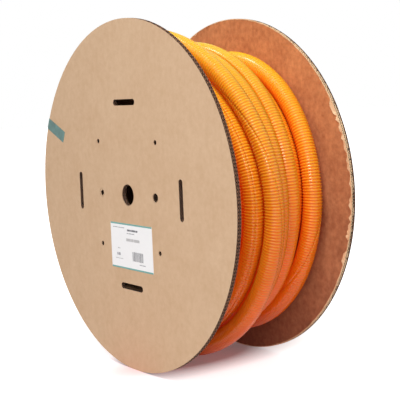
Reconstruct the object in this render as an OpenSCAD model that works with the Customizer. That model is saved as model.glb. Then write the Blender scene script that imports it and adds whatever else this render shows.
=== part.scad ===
// Reel of slit corrugated conduit: two fluted-board flanges on a paperboard drum,
// wound with flexible conduit. The reel's axis is X and it stands on its rims, so
// Z = 0 is the floor under them. The labelled flange faces -X. Millimetres.

/* [Flanges] */
// Diameter of each flange
flange_d = 710; // [600:1:800]
// Thickness of the flange board
board_t = 9; // [6:0.5:12]
// Width of the reel over both flanges
reel_w = 286; // [270:1:320]
// Distance from one flute of the board to the next
flute_pitch = 6.4; // [6:0.2:9]
// Thickness of the board's three flat liners
liner_t = 0.7; // [0.5:0.1:0.8]
// Thickness of the two fluted sheets between the liners
medium_t = 0.6; // [0.5:0.1:0.7]
// Distance from the axis within which the board is taken as solid
core_r = 230; // [210:5:240]

/* [Holes in each flange] */
// Diameter of the arbor hole
arbor_d = 44; // [38:0.5:52]
// Length of each of the four slots over the drum's wall
slot_len = 80; // [60:1:90]
// Width of each slot
slot_w = 12.5; // [8:0.5:13]
// Distance from the axis to the middle of each slot
slot_r = 187; // [182:1:188]
// Diameter of the four tie holes
tie_hole_d = 10; // [6:0.5:14]
// Distance from the axis to each tie hole
tie_hole_r = 152; // [145:1:160]
// Diameter of the two drive holes beside the arbor hole
drive_hole_d = 20; // [14:0.5:22]
// Distance from the axis to each drive hole
drive_hole_r = 100; // [85:1:115]

/* [Drum] */
// Outer diameter of the paperboard drum
drum_d = 402; // [400:1:406]
// Wall of the drum
drum_wall = 5; // [3:0.5:5.5]

/* [Conduit] */
// Outer diameter of the conduit
conduit_od = 38; // [36:0.5:38]
// Places along the axis of the turns in the first layer, on the drum
first_x = [-115, -77, -38, 8, 54, 104]; // [-115:1:115]
// Places of the turns in the second layer
second_x = [-101, -64, -14, 32, 78]; // [-115:1:115]
// Places of the turns in the third layer
third_x = [-42, 11, 54, 100]; // [-115:1:115]
// Place of the last turn, which lies on the first one of the third layer
last_x = -28; // [-60:1:-20]

/* [Label and tape] */
// Length of the paper label
label_len = 154; // [120:1:160]
// Height of the paper label
label_h = 93; // [80:1:110]
// Sideways place of the label's centre
label_y = -5; // [-30:1:10]
// Drop of the label's centre below the axis
label_drop = 105; // [95:1:110]
// Thickness of the label and the tape
film_t = 0.4; // [0.3:0.1:0.8]
// Width of the tape strip at the rim
tape_w = 25; // [18:1:38]
// Length of the tape strip on the flange's face
tape_len = 76; // [50:1:100]
// Angle of the tape strip above the horizontal
tape_angle = 24; // [10:1:40]

/* [Hidden] */
$fn = 96;
axis_z = flange_d / 2;
inner_half = reel_w / 2 - board_t;
tube_r = conduit_od / 2;
// turns that lie on each other press in a little
seat = conduit_od - 0.4;
// turns a little apart, so that each layer sinks into the one under it
turn_pitch = 43.8;
layer_step = sqrt(seat * seat - turn_pitch * turn_pitch / 4);
first_r = drum_d / 2 + tube_r;
second_r = first_r + layer_step;
third_r = second_r + layer_step;
last_r = third_r + sqrt(seat * seat - pow(last_x - third_x[0], 2));
ply = (board_t - 3 * liner_t) / 2;
flute_rows = floor(flange_d / 2 / flute_pitch);

// A round bar along X through the reel's axis, from x0 to x1
module x_bar(d, x0, x1) {
    translate([x0, 0, axis_z]) rotate([0, 90, 0]) cylinder(d = d, h = x1 - x0);
}

// The outline of one slot, its length across the radius
module slot_outline() {
    for (side = [-1, 1]) translate([0, side * (slot_len - slot_w) / 2]) circle(d = slot_w);
    square([slot_w, slot_len - slot_w], center = true);
}

// The outline of a flange: Y of the reel runs along its x, Z along its y
module flange_outline() {
    difference() {
        circle(d = flange_d, $fn = 180);
        circle(d = arbor_d);
        for (a = [0 : 90 : 270]) {
            rotate(a) translate([slot_r, 0]) slot_outline();
            rotate(a + 45) translate([tie_hole_r, 0]) circle(d = tie_hole_d);
        }
        for (side = [-1, 1]) translate([side * drive_hole_r, 0]) circle(d = drive_hole_d);
    }
}

// The hollow cell between a liner and one wave of the fluted sheet, its wide side to -x
module flute_cell() {
    wide = flute_pitch * 0.75 - medium_t;
    slim = flute_pitch * 0.25 - medium_t / 2;
    depth = ply - medium_t;
    polygon([[0, -wide / 2], [depth, -slim / 2], [depth, slim / 2], [0, wide / 2]]);
}

// The cells on both sides of both fluted sheets: the board's thickness along x
module flute_cells() {
    for (p = [0, 1], i = [-flute_rows : flute_rows]) {
        translate([liner_t + p * (ply + liner_t), i * flute_pitch]) flute_cell();
        translate([(1 + p) * (ply + liner_t), (i + 0.5) * flute_pitch]) mirror([1, 0]) flute_cell();
    }
}

// Double-wall board: its flutes run level, along Y, and open at the rim
module flange(x0) {
    color("#cfae8b") difference() {
        translate([x0, 0, axis_z]) rotate([90, 0, 90]) linear_extrude(board_t) flange_outline();
        difference() {
            translate([x0, flange_d / 2 + 1, axis_z]) rotate([90, 0, 0])
                linear_extrude(flange_d + 2) flute_cells();
            x_bar(2 * core_r, x0 - 1, x0 + board_t + 1);
        }
    }
}

module flange_near() {
    flange(-reel_w / 2);
}

module flange_far() {
    flange(inner_half);
}

module drum() {
    color("#a97c55") difference() {
        x_bar(drum_d, -inner_half, inner_half);
        x_bar(drum_d - 2 * drum_wall, -inner_half - 1, inner_half + 1);
    }
}

// One layer of turns in the winding's section
module turns(r, places) {
    for (x = places) translate([r, x]) circle(r = tube_r);
}

// What a layer's turns close off between them, from r0 out to r1
module closed_off(r0, r1, places) {
    translate([r0, min(places)]) square([r1 - r0, max(places) - min(places)]);
}

// The winding's section: radius along x, the reel's axis along y
module winding_section() {
    closed_off(drum_d / 2, first_r, first_x);
    turns(first_r, first_x);
    closed_off(first_r, second_r, second_x);
    turns(second_r, second_x);
    turns(third_r, third_x);
    turns(last_r, [last_x]);
}

module conduit() {
    color("#f08a24")
        translate([0, 0, axis_z]) rotate([0, 90, 0]) rotate_extrude($fn = 180) winding_section();
}

module label() {
    color("#f4f4f2")
        translate([-reel_w / 2 - film_t, label_y - label_len / 2, axis_z - label_drop - label_h / 2])
            cube([film_t, label_len, label_h]);
}

// The tape lies on the near flange's face and folds over its rim
module tape() {
    color("#3d9a8b") translate([0, 0, axis_z]) rotate([tape_angle, 0, 0]) {
        translate([-reel_w / 2 - film_t, flange_d / 2 - tape_len, -tape_w / 2])
            cube([film_t, tape_len + film_t / 2, tape_w]);
        intersection() {
            translate([-reel_w / 2 - film_t, 0, 0]) rotate([0, 90, 0]) difference() {
                cylinder(d = flange_d + 2 * film_t, h = board_t + film_t, $fn = 180);
                translate([0, 0, -1]) cylinder(d = flange_d, h = board_t + film_t + 2, $fn = 180);
            }
            translate([-reel_w / 2 - film_t, flange_d / 4, -tape_w / 2])
                cube([board_t + film_t, flange_d / 2, tape_w]);
        }
    }
}

flange_near();
flange_far();
drum();
conduit();
label();
tape();
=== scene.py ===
"""A reel of slit corrugated conduit: two flanges of fluted board, a drum and the winding.

Metres, in the frame of the CAD model: the reel's axis is X, the labelled flange faces -X,
the reel stands on its rims and the floor is Z = 0.
"""
import math

import bpy
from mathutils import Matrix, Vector


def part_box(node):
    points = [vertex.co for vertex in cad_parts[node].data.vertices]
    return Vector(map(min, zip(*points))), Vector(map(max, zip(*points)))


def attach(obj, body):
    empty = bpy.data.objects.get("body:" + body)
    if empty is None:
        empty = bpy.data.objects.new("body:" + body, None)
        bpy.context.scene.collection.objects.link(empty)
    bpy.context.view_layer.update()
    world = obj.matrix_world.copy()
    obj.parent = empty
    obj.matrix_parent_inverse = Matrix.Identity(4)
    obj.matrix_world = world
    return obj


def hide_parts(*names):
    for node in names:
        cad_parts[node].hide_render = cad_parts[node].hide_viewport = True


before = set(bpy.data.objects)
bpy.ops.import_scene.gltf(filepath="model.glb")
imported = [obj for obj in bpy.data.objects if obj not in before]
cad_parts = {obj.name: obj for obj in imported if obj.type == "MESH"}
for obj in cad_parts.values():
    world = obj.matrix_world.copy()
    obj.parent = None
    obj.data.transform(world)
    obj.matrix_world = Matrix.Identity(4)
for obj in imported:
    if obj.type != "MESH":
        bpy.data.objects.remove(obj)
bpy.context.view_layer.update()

MM = 0.001
flange_low, flange_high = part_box("flange_near")
far_low, far_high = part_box("flange_far")
label_low, label_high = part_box("label")
RIM = (flange_high[1] - flange_low[1]) / 2
AXIS_Z = flange_low[2] + RIM
BOARD = flange_high[0] - flange_low[0]
HALF_WIDTH = far_high[0]

# The double-wall board of the flanges, as it is cut
LINER = 0.7 * MM
FLUTED_SHEET = 0.6 * MM
PLY = (BOARD - 3 * LINER) / 2    # from one liner to the next
FLUTE_PITCH = 6.4 * MM
SHEET_HALF = FLUTED_SHEET * 0.62    # half the width that a fluted sheet shows in the edges
FACE_PAPER = 0.12 * MM    # how deep the look of the faces reaches into the edges

# The flanges' round holes: angle from +Y towards +Z, distance from the axis and diameter in
# mm, and how far the torn paper at the edge reaches in, as a share of the radius
TORN_HOLES = (
    (0, 100, 20, 0.42), (180, 100, 20, 0.20),
    (45, 152, 10, 0.18), (135, 152, 10, 0.15), (225, 152, 10, 0.2), (315, 152, 10, 0.15),
    (0, 0, 44, 0.05),
)
TORN_DEPTH = 0.55 * MM    # of the torn paper, under the flange's outer face
TORN_GRIP = 0.4 * MM      # how far it reaches into the board around the hole
TORN_THICK = 0.3 * MM
STAYS_FLAT = 0.25         # the share of the raggedness that is left across the paper

# The far flange's crushed rim: where along it the paper has frayed further in, as an angle,
# half the length in degrees and the share of the radius that is left
FRAYED_PARTS = ((166, 20, 0.99), (196, 9, 0.987), (150, 6, 0.992), (322, 20, 0.99),
                (60, 12, 0.99))
FRAYED_SHARE = 0.005      # of the radius, the width of the strip all round
FRAYED_ROUGH = 0.9 * MM   # raggedness of that strip
TUFT_ROUGH = 2.6 * MM     # raggedness where it has frayed further
FRAYED_LIFT = 0.35 * MM   # how far the strip stands off the flange's inner face
TUFT_LIFT = 0.4 * MM      # how much further it stands off where it has frayed
FRAYED_INSET = 0.2 * MM   # how far inside the rim it begins
CRUSHED = 0.9 * MM        # how deep the rim looks crushed

# The conduit
TUBE = 19 * MM            # outer radius over its ridges
GROOVE = 17.2 * MM        # radius in its grooves
RIDGE = 5.6 * MM          # from one ridge to the next
GROOVE_SHARE = 0.16       # of a ridge's length, the flat of its groove
SLOPE_SHARE = 0.24        # of it, each side of the ridge
WALL = 0.9 * MM
SLIT_HALF = 0.6 * MM      # half the width of the slit that runs along it
SLIT_DEEP = 1.8 * MM
LIP = 0.8 * MM            # how far the slit's upper lip stands up

# The winding. A turn runs from the back (0) over the top (90), the front (180) and the
# bottom (270) to the back again (360). It has a waypoint at every 60 degrees from 60 on: its
# place along the axis and its distance from it, both in mm, and where its slit lies, in
# degrees from outwards towards +X. The turns of the inner layers lie square to the axis, and
# each is given by its place alone.
WAYPOINT_STEP = 60
ROUTE_STEP = 4            # degrees from one point of a route to the next
INNER_SLIT = 60
STEP_RISE = 4             # mm that an inner turn rises where it steps to the next place
FIRST_LAYER = (-115, -76, -36, 5, 50, 104)
FIRST_RADIUS = 220
TO_SECOND_LAYER = (95, 236, INNER_SLIT)
SECOND_LAYER = (77, 24, -13, -99)
SECOND_RADIUS = 250
TO_THIRD_LAYER = (-80, 284, -60)
THIRD_LAYER = (
    ((-64, 262, -45), (-65, 263, -38), (-43, 276, -31), (-38, 280, -22), (-32, 286, -10),
     (-26, 286, -20)),
    ((-18, 282, -45), (-4, 284, -60), (11, 286, -62), (20, 287, -60), (27, 288, -55),
     (26, 288, -55)),
    ((22, 290, -60), (34, 284, -62), (48, 275, -60), (59, 275, -50), (69, 276, 0),
     (92, 274, 50)),
    ((115, 264, 75), (113, 270, 85), (104, 277, 52), (102, 288, -138), (102, 297, -160),
     (60, 324, -180)),
)
TOP_TURN = ((-67, 326, -190), (-56, 307, -150), (-22, 311, -1), (-25, 320, 32), (-38, 328, 45),
            (-46, 328, 60))
TOP_TURN_ENDS_AT = 340    # degrees, a little before its last waypoint


# ---------------------------------------------------------------- selecting and finishing

def deselect():
    bpy.ops.object.select_all(action="DESELECT")


def only(piece):
    """Selects just this piece and makes it the active one."""
    deselect()
    piece.select_set(True)
    bpy.context.view_layer.objects.active = piece


def edit(piece):
    only(piece)
    bpy.ops.object.mode_set(mode="EDIT")


def done():
    bpy.ops.object.mode_set(mode="OBJECT")


def pick(piece, kind, test):
    """In edit mode: selects just the vertices, edges or faces whose middle passes the test."""
    bpy.ops.mesh.select_mode(type={"vertices": "VERT", "edges": "EDGE", "polygons": "FACE"}[kind])
    bpy.ops.mesh.select_all(action="DESELECT")
    bpy.ops.object.mode_set(mode="OBJECT")
    mesh = piece.data
    for part in getattr(mesh, kind):
        if kind == "vertices":
            middle = part.co
        elif kind == "edges":
            middle = (mesh.vertices[part.vertices[0]].co + mesh.vertices[part.vertices[1]].co) / 2
        else:
            middle = part.center
        part.select = bool(test(middle))
    bpy.ops.object.mode_set(mode="EDIT")


def apply_modifier(piece, kind, **settings):
    """Adds a modifier with its settings and applies it at once."""
    only(piece)
    modifier = piece.modifiers.new(kind.lower(), kind)
    for name, value in settings.items():
        setattr(modifier, name, value)
    bpy.ops.object.modifier_apply(modifier=modifier.name)


def outwards(piece):
    """Turns all faces outwards."""
    edit(piece)
    bpy.ops.mesh.select_all(action="SELECT")
    bpy.ops.mesh.normals_make_consistent(inside=False)
    done()


def join(pieces, name):
    """Makes one piece of several, at the origin and with the given name."""
    only(pieces[0])
    for piece in pieces[1:]:
        piece.select_set(True)
    bpy.ops.object.join()
    bpy.ops.object.transform_apply(location=True, rotation=True, scale=True)
    pieces[0].name = pieces[0].data.name = name
    return pieces[0]


# ---------------------------------------------------------------- the conduit

def ridge(sides):
    """One groove and ridge of the conduit, along X from 0, its slit a notch towards +Z."""
    deselect()
    bpy.ops.mesh.primitive_circle_add(vertices=sides, radius=GROOVE, rotation=(0, math.pi / 2, 0))
    piece = bpy.context.object
    bpy.ops.object.transform_apply(location=False, rotation=True, scale=False)
    bpy.ops.object.mode_set(mode="EDIT")
    top = Vector((0, 0, GROOVE))
    side = 2 * GROOVE * math.sin(math.pi / sides)
    pick(piece, "edges", lambda middle: (middle - top).length < side * 0.75)
    bpy.ops.mesh.subdivide(number_cuts=1)
    for lean, lift in ((-1, 0.0), (1, LIP)):
        pick(piece, "vertices",
             lambda co: (co - top).length < side * 0.75 and co.y * lean > side * 0.1)
        here = next(v.co.y for v in piece.data.vertices if v.select)
        bpy.ops.transform.translate(value=(0, lean * SLIT_HALF - here, lift))
    pick(piece, "vertices", lambda co: (co - top).length < side * 0.05)
    bpy.ops.transform.translate(value=(0, 0, -SLIT_DEEP))
    bpy.ops.mesh.select_all(action="SELECT")
    step_up = TUBE / GROOVE
    at = 0.0
    for run, grow in ((GROOVE_SHARE, 1.0), (SLOPE_SHARE, step_up),
                      (1 - GROOVE_SHARE - 2 * SLOPE_SHARE, 1.0), (SLOPE_SHARE, 1 / step_up)):
        bpy.ops.mesh.extrude_region_move(TRANSFORM_OT_translate={"value": (run * RIDGE, 0, 0)})
        at += run * RIDGE
        if grow != 1.0:
            bpy.ops.transform.resize(value=(1, grow, grow), center_override=(at, 0, 0))
    done()
    for face in piece.data.polygons:
        face.material_index = 1 if face.center.x < GROOVE_SHARE * RIDGE else 0
    return piece


def smooth(before, here, there, after, share):
    """The curve through evenly spaced values, between here and there."""
    return 0.5 * (2 * here + (there - before) * share
                  + (2 * before - 5 * here + 4 * there - after) * share ** 2
                  + (3 * here - before - 3 * there + after) * share ** 3)


def route(waypoints, first, last):
    """The points of a route from angle first to last through the waypoints, the first of
    which is at angle 0, and the slit's angle at each point."""
    points, slits = [], []
    steps = round((last - first) / ROUTE_STEP)
    for step in range(steps + 1):
        angle = first + (last - first) * step / steps
        index = min(max(int(angle // WAYPOINT_STEP), 0), len(waypoints) - 2)
        share = angle / WAYPOINT_STEP - index
        near = [waypoints[min(max(index + k, 0), len(waypoints) - 1)] for k in (-1, 0, 1, 2)]
        place, radius, slit = (smooth(*values, share) for values in zip(*near))
        turn = math.radians(angle)
        points.append(Vector((place * MM, radius * MM * math.cos(turn),
                              AXIS_Z + radius * MM * math.sin(turn))))
        slits.append(slit)
    return points, slits


def free_slits(points):
    """Where the slit lies along a route that isn't twisted at all, in degrees from outwards
    towards +X."""
    ways = [(b - a).normalized() for a, b in zip(points, points[1:])]
    ways = [ways[0]] + [(a + b).normalized() for a, b in zip(ways, ways[1:])] + [ways[-1]]
    upright = ways[0].to_track_quat("Z", "Y") @ Vector((0, 1, 0))
    angles = []
    for index, (point, way) in enumerate(zip(points, ways)):
        if index:
            upright = ways[index - 1].rotation_difference(way) @ upright
        outward = Vector((0, point.y, point.z - AXIS_Z)).normalized()
        sideways = way.cross(outward)
        if sideways.x < 0:
            sideways.negate()
        angles.append(math.degrees(math.atan2(upright.dot(sideways), upright.dot(outward))))
    return angles


def conduit_run(name, points, slits, sides, cut_end=False):
    """A length of conduit along the points, its slit at the angles given."""
    length = sum((b - a).length for a, b in zip(points, points[1:]))
    count = int(length / RIDGE)
    piece = ridge(sides)
    apply_modifier(piece, "ARRAY", count=count, use_relative_offset=False,
                   use_constant_offset=True, constant_offset_displace=(RIDGE, 0, 0),
                   use_merge_vertices=True, merge_threshold=0.02 * MM)
    bpy.ops.object.mode_set(mode="EDIT")
    bpy.ops.mesh.select_all(action="DESELECT")
    bpy.ops.mesh.select_mode(type="EDGE")
    bpy.ops.mesh.select_non_manifold()
    bpy.ops.mesh.edge_face_add()
    if cut_end:
        pick(piece, "polygons", lambda middle: middle.x > (count - 0.01) * RIDGE)
        bpy.ops.mesh.inset(thickness=WALL)
        bpy.ops.mesh.extrude_region_move(TRANSFORM_OT_translate={"value": (-2 * TUBE, 0, 0)})
    # a whole number of ridges fills the whole route
    bpy.ops.mesh.select_all(action="SELECT")
    bpy.ops.transform.resize(value=(length / (count * RIDGE), 1, 1), center_override=(0, 0, 0))
    done()
    line = bpy.data.curves.new(name + "_route", "CURVE")
    line.dimensions = "3D"
    line.twist_mode = "MINIMUM"
    spline = line.splines.new("POLY")
    spline.points.add(len(points) - 1)
    for place, slit, free, point in zip(points, slits, free_slits(points), spline.points):
        point.co = (*place, 1)
        point.tilt = math.radians(free - slit)
    path = bpy.data.objects.new(name + "_route", line)
    bpy.context.collection.objects.link(path)
    apply_modifier(piece, "CURVE", object=path, deform_axis="POS_X")
    bpy.data.objects.remove(path)
    piece.name = piece.data.name = name
    outwards(piece)
    bpy.ops.object.shade_smooth()
    return piece


def ring_turns(places, radius):
    """Waypoints of turns that lie square to the axis and step to the next at the back."""
    way = []
    for index, place in enumerate(places):
        way += [(place, radius, INNER_SLIT)] * 5
        ahead = places[min(index + 1, len(places) - 1)]
        way.append(((place + ahead) / 2, radius + STEP_RISE, INNER_SLIT))
    return way


# Each layer begins where the one under it ends
first_way = ([(FIRST_LAYER[0], FIRST_RADIUS, INNER_SLIT)]
             + ring_turns(FIRST_LAYER, FIRST_RADIUS)[:-1] + [TO_SECOND_LAYER])
second_way = [TO_SECOND_LAYER] + ring_turns(SECOND_LAYER, SECOND_RADIUS)[:-1] + [TO_THIRD_LAYER]
third_way = [TO_THIRD_LAYER] + [waypoint for turn in THIRD_LAYER for waypoint in turn]
top_way = [third_way[-1], *TOP_TURN]

# name, waypoints, first and last angle, sides of the tube, whether it ends cut off
RUNS = (
    ("conduit_first_layer", first_way, 0, 360 * 6, 12, False),
    ("conduit_second_layer", second_way, 0, 360 * 4, 16, False),
    ("conduit_third_layer_a", third_way, 0, 360 * 2, 24, False),
    ("conduit_third_layer_b", third_way, 360 * 2, 360 * 4, 24, False),
    ("conduit_top_turn", top_way, 0, TOP_TURN_ENDS_AT, 24, True),
)
conduit_pieces = [conduit_run(name, *route(way, first, last), sides, cut_end)
                  for name, way, first, last, sides, cut_end in RUNS]


# ---------------------------------------------------------------- torn paper

def around(angle, distance):
    """Y and Z at an angle from +Y towards +Z and a distance from the reel's axis."""
    turn = math.radians(angle)
    return distance * math.cos(turn), AXIS_Z + distance * math.sin(turn)


def torn_ring(place, radius, corners, share, rough, seed):
    """A flat ring across the X axis with ragged edges, a share of its radius wide."""
    deselect()
    bpy.ops.mesh.primitive_circle_add(vertices=corners, radius=radius, location=place,
                                      rotation=(0, math.pi / 2, 0))
    ring = bpy.context.object
    bpy.ops.object.transform_apply(location=True, rotation=True)
    bpy.ops.object.mode_set(mode="EDIT")
    bpy.ops.mesh.select_mode(type="VERT")
    bpy.ops.mesh.select_all(action="SELECT")
    for step in (0.5, 1.0):
        size = (1 - share * step) / (1 - share * (step - 0.5))
        bpy.ops.mesh.extrude_region()
        bpy.ops.transform.resize(value=(1, size, size), center_override=place)
    bpy.ops.transform.vertex_random(offset=rough, seed=seed)
    bpy.ops.transform.resize(value=(STAYS_FLAT, 1, 1), center_override=place)
    done()
    apply_modifier(ring, "SOLIDIFY", thickness=TORN_THICK, offset=0)
    outwards(ring)
    return ring


def torn_edges(name, face, inward, seed):
    """The torn paper at the edges of one flange's round holes, just under its outer face."""
    rings = []
    for index, (angle, distance, width, share) in enumerate(TORN_HOLES):
        radius = width / 2 * MM
        place = (face + inward * TORN_DEPTH, *around(angle, distance * MM))
        rings.append(torn_ring(place, radius + TORN_GRIP, 20 if width < 15 else 32, share,
                               radius * share * 0.55, seed + index))
    return join(rings, name)


def frayed_rim(name, face, seed):
    """The crushed edge of the inner paper, round the rim of the far flange."""
    place = (face - FRAYED_LIFT, 0, AXIS_Z)
    ring = torn_ring(place, RIM - FRAYED_INSET, 300, FRAYED_SHARE, FRAYED_ROUGH, seed)
    edit(ring)
    for angle, half, reach in FRAYED_PARTS:
        y, z = around(angle, RIM)
        within = 2 * RIM * math.sin(math.radians(half / 2))
        pick(ring, "vertices", lambda co: (math.hypot(co.y - y, co.z - z) < within
                                           and math.hypot(co.y, co.z - AXIS_Z) < RIM - 2 * MM))
        bpy.ops.transform.resize(value=(1, reach, reach), center_override=place)
        bpy.ops.transform.vertex_random(offset=TUFT_ROUGH, seed=seed + angle)
        bpy.ops.transform.translate(value=(-TUFT_LIFT, 0, 0))
    done()
    ring.name = ring.data.name = name
    return ring


torn_near = torn_edges("torn_paper_near", -HALF_WIDTH, 1, 3)
torn_far = torn_edges("torn_paper_far", HALF_WIDTH, -1, 40)
frayed = frayed_rim("frayed_rim_far", far_low[0], 7)


# ---------------------------------------------------------------- the label

LABEL_PAPER = 0.3 * MM
LABEL_CORNER = 1.5 * MM   # radius of its corners
PRINT_THICK = 0.06 * MM
NEAR_ENOUGH = 0.1 * MM    # when an edge counts as lying where it is looked for
DASH_GAP = 0.008          # between the dashes, as a share of the label's length
# The bars: their edges as shares of the label, and each bar's width and the gap after it in
# thousandths of the label's length
BARS_LEFT, BARS_TOP, BARS_BOTTOM = 0.52, 0.60, 0.80
BARS = ((9, 6), (4, 9), (6, 5), (14, 7), (5, 5), (9, 9), (4, 5), (12, 8), (6, 6),
        (5, 9), (10, 5), (4, 7), (8, 6), (13, 8), (5, 5), (6, 9), (9, 5), (8, 0))
label_length = label_high[1] - label_low[1]
label_height = label_high[2] - label_low[2]
label_middle = (label_low[1] + label_high[1]) / 2


def slab(low, high):
    """A box between two opposite corners."""
    deselect()
    bpy.ops.mesh.primitive_cube_add(size=1, location=[(a + b) / 2 for a, b in zip(low, high)],
                                    scale=[b - a for a, b in zip(low, high)])
    bpy.ops.object.transform_apply(location=True, rotation=True, scale=True)
    return bpy.context.object


label_paper = slab((flange_low[0] - LABEL_PAPER, label_low[1], label_low[2]),
                   (flange_low[0], label_high[1], label_high[2]))
edit(label_paper)
pick(label_paper, "edges",
     lambda middle: (abs(middle.x - flange_low[0] + LABEL_PAPER / 2) < NEAR_ENOUGH
                     and abs(abs(middle.y - label_middle) - label_length / 2) < NEAR_ENOUGH))
bpy.ops.mesh.bevel(offset=LABEL_CORNER, segments=4)
done()
label_paper.name = label_paper.data.name = "label_paper"
printing = {"teal": [], "dark": [], "grey": [], "pale": []}


def printed(ink, left, right, top, bottom):
    """One printed mark, its edges as shares of the label from its top left corner."""
    mark = slab((flange_low[0] - LABEL_PAPER - PRINT_THICK,
                 label_high[1] - right * label_length, label_high[2] - bottom * label_height),
                (flange_low[0] - LABEL_PAPER,
                 label_high[1] - left * label_length, label_high[2] - top * label_height))
    printing[ink].append(mark)


def text_line(ink, left, right, top, height, lengths):
    """A line of print shown as plain dashes, long in proportion to the lengths given."""
    at = left
    scale = (right - left - DASH_GAP * (len(lengths) - 1)) / sum(lengths)
    for length in lengths:
        printed(ink, at, at + length * scale, top, top + height)
        at += length * scale + DASH_GAP


printed("teal", 0.004, 0.996, 0.0, 0.034)
printed("teal", 0.004, 0.996, 0.966, 1.0)
text_line("grey", 0.06, 0.34, 0.095, 0.016, (3, 5, 2, 4, 6))
text_line("dark", 0.41, 0.66, 0.125, 0.04, (3, 1, 4, 2))
text_line("grey", 0.40, 0.58, 0.205, 0.018, (2, 4, 3))
text_line("pale", 0.38, 0.70, 0.325, 0.06, (4, 2, 5))
text_line("pale", 0.16, 0.22, 0.55, 0.02, (2, 1))
text_line("grey", 0.14, 0.22, 0.66, 0.06, (1, 2))
text_line("pale", 0.10, 0.28, 0.78, 0.016, (4, 2, 3))
text_line("grey", 0.68, 0.82, 0.85, 0.018, (3, 4))
bar_at = BARS_LEFT
for width, gap in BARS:
    printed("dark", bar_at, bar_at + width / 1000, BARS_TOP, BARS_BOTTOM)
    bar_at += (width + gap) / 1000
prints = {ink: join(marks, f"label_print_{ink}") for ink, marks in printing.items()}


# ---------------------------------------------------------------- materials

def rgb(red, green, blue):
    """A colour as seen on a screen, 0 to 255, made linear."""
    return tuple((c / 255 / 12.92 if c < 10 else ((c / 255 + 0.055) / 1.055) ** 2.4)
                 for c in (red, green, blue)) + (1.0,)


def add(tree, kind, inputs=None, **settings):
    """Adds a node, with its settings, and with inputs that are values or sockets."""
    node = tree.nodes.new(kind)
    for name, value in settings.items():
        setattr(node, name, value)
    for socket, value in (inputs or {}).items():
        if isinstance(value, bpy.types.NodeSocket):
            tree.links.new(value, node.inputs[socket])
        else:
            node.inputs[socket].default_value = value
    return node


def math_node(tree, operation, first, second=0.0, clamp=False):
    """One calculation with one or two values, each a number or a socket."""
    return add(tree, "ShaderNodeMath", {0: first, 1: second}, operation=operation,
               use_clamp=clamp).outputs[0]


def ramp(tree, value, low, high, to_low=0.0, to_high=1.0):
    """Runs from to_low to to_high while the value runs from low to high, and stays there."""
    return add(tree, "ShaderNodeMapRange",
               {0: value, 1: low, 2: high, 3: to_low, 4: to_high}).outputs[0]


def mix(tree, share, first, second):
    """The first colour where the share is 0, the second where it is 1."""
    return add(tree, "ShaderNodeMix", {0: share, 6: first, 7: second},
               data_type="RGBA").outputs[2]


def material(name, roughness, **fixed):
    """A new material with a Principled shader, and its node tree."""
    made = bpy.data.materials.new(name)
    made.use_nodes = True
    shader = made.node_tree.nodes["Principled BSDF"]
    shader.inputs["Roughness"].default_value = roughness
    for socket, value in fixed.items():
        shader.inputs[socket.replace("_", " ")].default_value = value
    return made, made.node_tree, shader


def noise(tree, scale, detail=3.0, stretch=(1, 1, 1)):
    """A cloudy pattern that stays with the piece, from 0 to 1."""
    place = add(tree, "ShaderNodeTexCoord").outputs["Object"]
    stretched = add(tree, "ShaderNodeMapping", {0: place, 3: stretch}).outputs[0]
    return add(tree, "ShaderNodeTexNoise", {"Vector": stretched, "Scale": scale,
                                            "Detail": detail}).outputs["Fac"]


def new_group(name, inputs, outputs):
    """A node group with sockets of the given names and kinds, and its two ends."""
    group = bpy.data.node_groups.new(name, "ShaderNodeTree")
    for way, sockets in (("INPUT", inputs), ("OUTPUT", outputs)):
        for socket, kind in sockets.items():
            group.interface.new_socket(socket, in_out=way, socket_type="NodeSocket" + kind)
    return group, add(group, "NodeGroupInput").outputs, add(group, "NodeGroupOutput").inputs


def paper_group():
    """Mottled paper: clouds, short fibres, specks and faint upright streaks."""
    group, given, end = new_group("mottled_paper",
                                  {"Light": "Color", "Dark": "Color", "Contrast": "Float"},
                                  {"Color": "Color", "Height": "Float"})
    total = 0.0
    for pattern, weight in ((noise(group, 16), 0.3), (noise(group, 95, 5.0), 0.42),
                            (noise(group, 420, stretch=(1, 1, 0.6)), 0.18),
                            (noise(group, 30, stretch=(1, 3, 0.15)), 0.1)):
        total = math_node(group, "ADD", total, math_node(group, "MULTIPLY", pattern, weight))
    spread = math_node(group, "MULTIPLY", math_node(group, "SUBTRACT", total, 0.5),
                       given["Contrast"])
    share = math_node(group, "ADD", spread, 0.5, clamp=True)
    group.links.new(mix(group, share, given["Dark"], given["Light"]), end["Color"])
    group.links.new(total, end["Height"])
    return group


mottled_paper = paper_group()


def paper(tree, light, dark, contrast):
    """The mottled paper in its two colours, as a node with a Color and a Height."""
    return add(tree, "ShaderNodeGroup", {"Light": light, "Dark": dark, "Contrast": contrast},
               node_tree=mottled_paper)


def relief(tree, shader, height, strength, distance):
    """Lets the height show as fine bumps."""
    bump = add(tree, "ShaderNodeBump", {"Strength": strength, "Distance": distance,
                                        "Height": height})
    tree.links.new(bump.outputs[0], shader.inputs["Normal"])


def from_axis(tree, place):
    """The distance from the reel's axis."""
    up = math_node(tree, "SUBTRACT", place["Z"], AXIS_Z)
    squares = [math_node(tree, "POWER", part, 2.0) for part in (place["Y"], up)]
    return math_node(tree, "SQRT", math_node(tree, "ADD", *squares))


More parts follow.
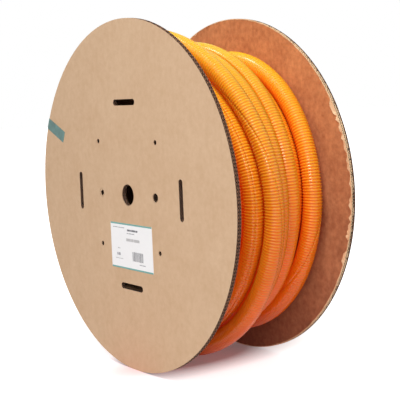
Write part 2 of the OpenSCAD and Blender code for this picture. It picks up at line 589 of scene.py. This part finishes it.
def board_material():
    """Kraft board: mottled faces, redder and darker towards the bottom inside the reel as painted
    shade and orange bounce light, and cut edges painted dark as shade, near black between the
    fluted sheets.
    """
    made, tree, shader = material("kraft_board", 0.82)
    coordinates = add(tree, "ShaderNodeTexCoord")
    place = add(tree, "ShaderNodeSeparateXYZ", {0: coordinates.outputs["Object"]}).outputs
    facing = add(tree, "ShaderNodeSeparateXYZ", {0: coordinates.outputs["Normal"]}).outputs
    outer = paper(tree, rgb(216, 184, 150), rgb(198, 162, 126), 2.2)
    # painted shade and bounce light inside the reel: redder than the outer faces, darker towards
    # the bottom
    height = ramp(tree, place["Z"], 0.02, 0.62)
    inner = paper(tree, mix(tree, height, rgb(168, 108, 74), rgb(222, 150, 96)),
                  mix(tree, height, rgb(118, 66, 42), rgb(176, 104, 60)), 3.2)
    inside = math_node(tree, "LESS_THAN", math_node(tree, "MULTIPLY", facing["X"], place["X"]),
                       -0.05)
    face = mix(tree, inside, outer.outputs["Color"], inner.outputs["Color"])

    # how deep in the board a point lies, from the face on its -X side
    far = math_node(tree, "GREATER_THAN", place["X"], 0.0)
    depth = math_node(tree, "SUBTRACT", math_node(tree, "ADD", place["X"], HALF_WIDTH),
                      math_node(tree, "MULTIPLY", far, HALF_WIDTH + far_low[0]))
    in_ply = math_node(tree, "MODULO", math_node(tree, "SUBTRACT", depth, LINER), PLY + LINER)
    hollow = math_node(tree, "MULTIPLY", math_node(tree, "GREATER_THAN", in_ply, 0.0),
                       math_node(tree, "LESS_THAN", in_ply, PLY))
    up = math_node(tree, "SUBTRACT", place["Z"], AXIS_Z)
    wave = math_node(tree, "PINGPONG", up, FLUTE_PITCH / 2)
    sheet = ramp(tree, wave, FLUTE_PITCH / 12, FLUTE_PITCH * 5 / 12,
                 PLY - FLUTED_SHEET / 2, FLUTED_SHEET / 2)
    off_sheet = math_node(tree, "ABSOLUTE", math_node(tree, "SUBTRACT", in_ply, sheet))
    fluted = math_node(tree, "LESS_THAN", off_sheet, SHEET_HALF)
    # painted shade in the cut edges: near black in the flute cells, dark brown at the liners,
    # lighter on the fluted sheets
    edge = mix(tree, fluted, rgb(12, 7, 5), rgb(166, 116, 82))
    edge = mix(tree, hollow, rgb(46, 28, 18), edge)
    middle_depth = math_node(tree, "ABSOLUTE", math_node(tree, "SUBTRACT", depth, BOARD / 2))
    cut = math_node(tree, "LESS_THAN", middle_depth, BOARD / 2 - FACE_PAPER)
    colour = mix(tree, cut, face, edge)

    # the crushed paper at the far flange's rim
    radius = from_axis(tree, place)
    at_rim = math_node(tree, "GREATER_THAN", radius, RIM - CRUSHED)
    shallow = math_node(tree, "LESS_THAN", depth, math_node(
        tree, "MULTIPLY", math_node(tree, "SUBTRACT", inner.outputs["Height"], 0.22), 18 * MM))
    crushed = math_node(tree, "MULTIPLY", math_node(tree, "MULTIPLY", at_rim, shallow), far)
    colour = mix(tree, crushed, colour, rgb(240, 206, 164))
    tree.links.new(colour, shader.inputs["Base Color"])
    relief(tree, shader, outer.outputs["Height"], 0.25, 0.6 * MM)
    return made


def paper_material(name, light, dark, contrast, roughness=0.8):
    """A finish of plain mottled paper."""
    made, tree, shader = material(name, roughness)
    node = paper(tree, light, dark, contrast)
    tree.links.new(node.outputs["Color"], shader.inputs["Base Color"])
    relief(tree, shader, node.outputs["Height"], 0.2, 0.4 * MM)
    return made


# the deep glow is painted light: an emission that stands in for light soaking through the deep
# turns
GLOW_FADES = 0.27, 0.3    # the distances from the axis between which the deep glow fades


def plastic_group():
    """Thin plastic: yellower where it faces up and stands high, which is painted light from
    above, with a faint painted red glow (emission) where it lies deep, standing in for the light
    that soaks through it, and a little scuffed all over."""
    group, given, end = new_group("thin_plastic",
                                  {"Low": "Color", "High": "Color", "Glow": "Color",
                                   "Roughness": "Float"},
                                  {"Color": "Color", "Glow": "Color", "Roughness": "Float"})
    coordinates = add(group, "ShaderNodeTexCoord").outputs
    facing = add(group, "ShaderNodeSeparateXYZ", {0: coordinates["Normal"]}).outputs
    place = add(group, "ShaderNodeSeparateXYZ", {0: coordinates["Object"]}).outputs
    # painted light from above: the colour turns from Low to High where the plastic faces up and
    # stands high
    upward = ramp(group, facing["Z"], -0.6, 0.9, 0.0, 0.5)
    height = ramp(group, place["Z"], 0.02, 0.66, 0.0, 0.5)
    share = math_node(group, "POWER", math_node(group, "ADD", upward, height), 1.5)
    dim = ramp(group, noise(group, 9), 0.3, 0.7, 0.93, 1.0)
    shade = add(group, "ShaderNodeVectorMath",
                {0: mix(group, share, given["Low"], given["High"]), "Scale": dim},
                operation="SCALE").outputs[0]
    # painted glow: the deep turns emit red and the rest emits the given Glow colour, standing in
    # for light that soaks through the plastic
    deep = ramp(group, from_axis(group, place), *GLOW_FADES)
    scuffs = ramp(group, noise(group, 160, 2.0), 0.3, 0.7, -0.05, 0.07)
    group.links.new(shade, end["Color"])
    group.links.new(mix(group, deep, rgb(255, 60, 0), given["Glow"]), end["Glow"])
    group.links.new(math_node(group, "ADD", given["Roughness"], scuffs), end["Roughness"])
    return group


thin_plastic = plastic_group()


def conduit_material(name, low, high, glow, dulled, shine):
    """Orange plastic: its colours low down and high up, the high one's yellow being painted light
    from above, its painted glow outside the deep turns, its roughness and how much it mirrors."""
    # the emission is painted glow, not a lamp
    made, tree, shader = material(name, dulled, Specular_IOR_Level=shine, Emission_Strength=0.1,
                                  Subsurface_Weight=0.3, Subsurface_Scale=0.012,
                                  Subsurface_Radius=(1.0, 0.25, 0.05))
    plastic = add(tree, "ShaderNodeGroup",
                  {"Low": low, "High": high, "Glow": glow, "Roughness": dulled},
                  node_tree=thin_plastic).outputs
    tree.links.new(plastic["Color"], shader.inputs["Base Color"])
    tree.links.new(plastic["Glow"], shader.inputs["Emission Color"])
    tree.links.new(plastic["Roughness"], shader.inputs["Roughness"])
    return made


def ink_material(name, colour):
    """Print that is a little worn."""
    made, tree, shader = material(name, 0.5)
    paler = tuple(c * 0.75 + 0.12 for c in colour[:3]) + (1.0,)
    worn = ramp(tree, noise(tree, 500, 2.0), 0.45, 0.7)
    tree.links.new(mix(tree, worn, colour, paler), shader.inputs["Base Color"])
    return made


def tape_material():
    """Creased adhesive tape, teal and a little cloudy."""
    made, tree, shader = material("teal_tape", 0.38)
    cloud = ramp(tree, noise(tree, 60, 4.0), 0.35, 0.65)
    tree.links.new(mix(tree, cloud, rgb(56, 100, 94), rgb(80, 126, 119)),
                   shader.inputs["Base Color"])
    relief(tree, shader, noise(tree, 110, 1.0), 0.4, 0.5 * MM)
    return made


# The high colours' yellow is painted light from above; the groove's orange glow is painted light
# in the grooves.
crest = conduit_material("conduit_crest", rgb(236, 98, 16), rgb(242, 196, 46),
                         rgb(0, 0, 0), 0.2, 0.3)
groove = conduit_material("conduit_groove", rgb(250, 104, 14), rgb(255, 176, 30),
                          rgb(255, 130, 0), 0.45, 0.05)
board = board_material()
torn = paper_material("torn_paper", rgb(226, 196, 160), rgb(150, 112, 80), 3.5)
frayed_paper = paper_material("frayed_paper", rgb(246, 214, 172), rgb(206, 150, 104), 3.5)
drum_paper = paper_material("drum_paper", rgb(176, 136, 100), rgb(150, 112, 80), 2.5)
label_white = paper_material("label_white", rgb(250, 250, 250), rgb(240, 240, 240), 1.0, 0.55)
inks = {"teal": rgb(92, 160, 152), "dark": rgb(84, 84, 92), "grey": rgb(150, 150, 156),
        "pale": rgb(186, 184, 184)}


def stand_for(piece, slot, *finishes):
    """Gives a new piece its finishes and lets it ride with the reel; its slot is not used."""
    piece.data.materials.clear()
    for finish in finishes:
        piece.data.materials.append(finish)
    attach(piece, "root")


for piece in conduit_pieces:
    shares = [face.material_index for face in piece.data.polygons]
    stand_for(piece, "conduit", crest, groove)
    piece.data.polygons.foreach_set("material_index", shares)
    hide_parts("conduit")
for piece, slot, finish in ((torn_near, "board", torn), (torn_far, "board", torn),
                            (frayed, "board", frayed_paper)):
    stand_for(piece, slot, finish)
stand_for(label_paper, "label_paper", label_white)
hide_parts("label")
for ink, piece in prints.items():
    stand_for(piece, "label_paper", ink_material(ink + "_ink", inks[ink]))

for node, finish in (("flange_near", board), ("flange_far", board), ("drum", drum_paper),
                     ("tape", tape_material())):
    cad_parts[node].data.materials.clear()
    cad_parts[node].data.materials.append(finish)


# ---------------------------------------------------------------- floor, light and camera

def background_rays(tree):
    """1 for the rays that should see a white background, 0 for those that light the object."""
    ray = add(tree, "ShaderNodeLightPath").outputs
    seen = math_node(tree, "MAXIMUM", ray["Is Camera Ray"], ray["Is Glossy Ray"])
    return math_node(tree, "MAXIMUM", seen, ray["Is Transmission Ray"])


# The floor's pink tint under the reel, which is painted shadow colour, and its tint in the open,
# and the distances between which it fades.
# Distances along the reel's axis count for less.
PAINTED_SHADOW_TINT, FLOOR_OPEN = (0.95, 0.66, 0.68, 1), (0.93, 0.9, 0.91, 1)
TINT_FADES = 0.07, 0.15
ALONG_AXIS = 0.45
# How much white the background rays find on the floor: between which two distances it
# rises, and from what to what. It stays low close by the reel, which is painted shade under it.
WHITE_CLOSE_BY = 0.06, 0.14, 0.08, 0.8
WHITE_FURTHER_OUT = 0.2, 1.5, 0.0, 0.35
WORLD_LIGHT, WORLD_SEEN = 0.4, 1.0

deselect()
bpy.ops.mesh.primitive_plane_add(size=30, location=(0, 0, 0))
floor = bpy.context.object
floor.name = "floor"
floor_finish, tree, shader = material("white_floor", 0.9)
shader.inputs["Specular IOR Level"].default_value = 0.0
place = add(tree, "ShaderNodeTexCoord").outputs["Object"]
squeezed = add(tree, "ShaderNodeMapping", {0: place, 3: (ALONG_AXIS, 1.0, 1.0)}).outputs[0]
away = add(tree, "ShaderNodeVectorMath", {0: squeezed}, operation="LENGTH").outputs["Value"]
tree.links.new(mix(tree, ramp(tree, away, *TINT_FADES), PAINTED_SHADOW_TINT, FLOOR_OPEN),
               shader.inputs["Base Color"])
white = math_node(tree, "ADD", ramp(tree, away, *WHITE_CLOSE_BY),
                  ramp(tree, away, *WHITE_FURTHER_OUT))
lift = math_node(tree, "MULTIPLY", background_rays(tree), white)
glow = add(tree, "ShaderNodeEmission", {"Color": (1, 1, 1, 1), "Strength": lift})
both = add(tree, "ShaderNodeAddShader", {0: shader.outputs[0], 1: glow.outputs[0]})
tree.links.new(both.outputs[0], tree.nodes["Material Output"].inputs["Surface"])
floor.data.materials.append(floor_finish)

world = bpy.data.worlds.new("studio")
bpy.context.scene.world = world
world.use_nodes = True
tree = world.node_tree
back = tree.nodes["Background"]
back.inputs["Color"].default_value = (1, 1, 1, 1)
tree.links.new(ramp(tree, background_rays(tree), 0.0, 1.0, WORLD_LIGHT, WORLD_SEEN),
               back.inputs["Strength"])


def softbox(name, place, aim, size, power):
    """A rectangular lamp that looks at a point, with its power in watts."""
    light = bpy.data.lights.new(name, "AREA")
    light.shape = "RECTANGLE"
    light.size, light.size_y = size
    light.energy = power
    lamp = bpy.data.objects.new(name, light)
    lamp.location = place
    lamp.rotation_euler = (Vector(aim) - Vector(place)).to_track_quat("-Z", "Y").to_euler()
    bpy.context.collection.objects.link(lamp)


REEL_MIDDLE = (0, 0, 0.35)
softbox("key", (-2.0, -2.4, 1.9), REEL_MIDDLE, (2.0, 2.0), 30)
softbox("top", (-1.0, -0.9, 2.8), REEL_MIDDLE, (0.7, 0.7), 46)

camera_data = bpy.data.cameras.new("camera")
camera_data.sensor_width = 36
camera_data.lens = 90.73
camera_data.shift_x = -0.0179
camera_data.shift_y = -0.196
camera = bpy.data.objects.new("camera", camera_data)
camera.location = (-1.2139, -1.7257, 0.5588)
camera.rotation_euler = [math.radians(a) for a in (88.213, 2.561, -36.595)]
bpy.context.collection.objects.link(camera)
bpy.context.scene.camera = camera
bpy.context.scene.view_settings.view_transform = "Standard"
